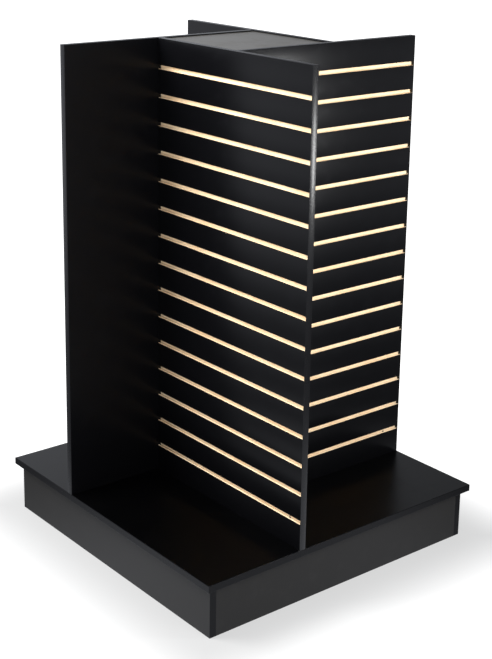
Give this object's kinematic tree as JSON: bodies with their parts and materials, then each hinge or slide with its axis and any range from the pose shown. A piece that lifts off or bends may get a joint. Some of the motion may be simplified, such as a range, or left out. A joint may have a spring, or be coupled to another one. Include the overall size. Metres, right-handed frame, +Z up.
{
  "type": "four-way slatwall display",
  "caption": "Free-standing pinwheel of grooved slatwall panels round a square core, on a square deck with kick boards, hidden joinery and screw-in levellers.",
  "frame": {"origin": "centre of the base's footprint, on the floor", "axes": "+Z up; -Y faces the front panel's grooved face; +X faces the right panel's grooved face; the panels turn anticlockwise seen from above"},
  "size_m": [0.9144, 0.9144, 1.3716],
  "materials": {
    "black_laminate": "semi-gloss melamine with a fine leather texture",
    "edge_band": "satin black edge banding",
    "raw_mdf": "raw routed fibreboard",
    "pine": "planed softwood",
    "beech": "turned hardwood dowel",
    "zinc_plated_steel": "bright zinc plate",
    "black_steel": "black phosphate",
    "black_plastic": "moulded nylon"
  },
  "bodies": {
    "fixture": {"front_panel_core": "raw_mdf", "front_panel_slat_faces": "black_laminate", "front_panel_back_face": "black_laminate", "front_panel_end_band": "edge_band", "front_panel_top_band": "black_laminate", "right_panel_core": "raw_mdf", "right_panel_slat_faces": "black_laminate", "right_panel_back_face": "black_laminate", "right_panel_end_band": "edge_band", "right_panel_top_band": "black_laminate", "back_panel_core": "raw_mdf", "back_panel_slat_faces": "black_laminate", "back_panel_back_face": "black_laminate", "back_panel_end_band": "edge_band", "back_panel_top_band": "black_laminate", "left_panel_core": "raw_mdf", "left_panel_slat_faces": "black_laminate", "left_panel_back_face": "black_laminate", "left_panel_end_band": "edge_band", "left_panel_top_band": "black_laminate", "top_cap_board": "raw_mdf", "top_cap_laminate": "black_laminate", "cap_cleat_front": "pine", "cap_cleat_right": "pine", "cap_cleat_back": "pine", "cap_cleat_left": "pine", "deck_board": "raw_mdf", "deck_laminate": "black_laminate", "deck_band_front": "edge_band", "deck_band_right": "edge_band", "deck_band_back": "edge_band", "deck_band_left": "edge_band", "kick_front": "black_laminate", "kick_right": "black_laminate", "kick_back": "black_laminate", "kick_left": "black_laminate", "kick_end_bands": "edge_band", "stretcher_across": "raw_mdf", "stretcher_along": "raw_mdf", "corner_block_back_right": "pine", "corner_block_back_left": "pine", "corner_block_front_left": "pine", "corner_block_front_right": "pine", "leveller_nuts": "zinc_plated_steel", "cam_locks": "zinc_plated_steel", "cam_bolts": "black_steel", "wood_dowels": "beech", "long_screws": "black_steel", "deck_screws": "black_steel", "wood_screws": "black_steel"},
    "foot_back_right": {"leveller_foot_back_right": "black_plastic"},
    "stem_back_right": {"leveller_stem_back_right": "zinc_plated_steel"},
    "foot_back_left": {"leveller_foot_back_left": "black_plastic"},
    "stem_back_left": {"leveller_stem_back_left": "zinc_plated_steel"},
    "foot_front_left": {"leveller_foot_front_left": "black_plastic"},
    "stem_front_left": {"leveller_stem_front_left": "zinc_plated_steel"},
    "foot_front_right": {"leveller_foot_front_right": "black_plastic"},
    "stem_front_right": {"leveller_stem_front_right": "zinc_plated_steel"}
  },
  "joints": [
    {"name": "foot_lift_back_right", "type": "slide", "parent": "fixture", "child": "foot_back_right", "axis": [0, 0, -1], "range_m": [0, 0.0254]},
    {"name": "stem_turn_back_right", "type": "hinge", "parent": "foot_back_right", "child": "stem_back_right", "pos_m": [0.39915, 0.39915, 0.02], "axis": [0, 0, -1], "range_deg": [0, 5765]},
    {"name": "foot_lift_back_left", "type": "slide", "parent": "fixture", "child": "foot_back_left", "axis": [0, 0, -1], "range_m": [0, 0.0254]},
    {"name": "stem_turn_back_left", "type": "hinge", "parent": "foot_back_left", "child": "stem_back_left", "pos_m": [-0.39915, 0.39915, 0.02], "axis": [0, 0, -1], "range_deg": [0, 5765]},
    {"name": "foot_lift_front_left", "type": "slide", "parent": "fixture", "child": "foot_front_left", "axis": [0, 0, -1], "range_m": [0, 0.0254]},
    {"name": "stem_turn_front_left", "type": "hinge", "parent": "foot_front_left", "child": "stem_front_left", "pos_m": [-0.39915, -0.39915, 0.02], "axis": [0, 0, -1], "range_deg": [0, 5765]},
    {"name": "foot_lift_front_right", "type": "slide", "parent": "fixture", "child": "foot_front_right", "axis": [0, 0, -1], "range_m": [0, 0.0254]},
    {"name": "stem_turn_front_right", "type": "hinge", "parent": "foot_front_right", "child": "stem_front_right", "pos_m": [0.39915, -0.39915, 0.02], "axis": [0, 0, -1], "range_deg": [0, 5765]}
  ],
  "couplings": [
    {"joint": "stem_turn_back_right", "follows": "foot_lift_back_right", "rad_per_m": 3957.9},
    {"joint": "stem_turn_back_left", "follows": "foot_lift_back_left", "rad_per_m": 3957.9},
    {"joint": "stem_turn_front_left", "follows": "foot_lift_front_left", "rad_per_m": 3957.9},
    {"joint": "stem_turn_front_right", "follows": "foot_lift_front_right", "rad_per_m": 3957.9}
  ]
}
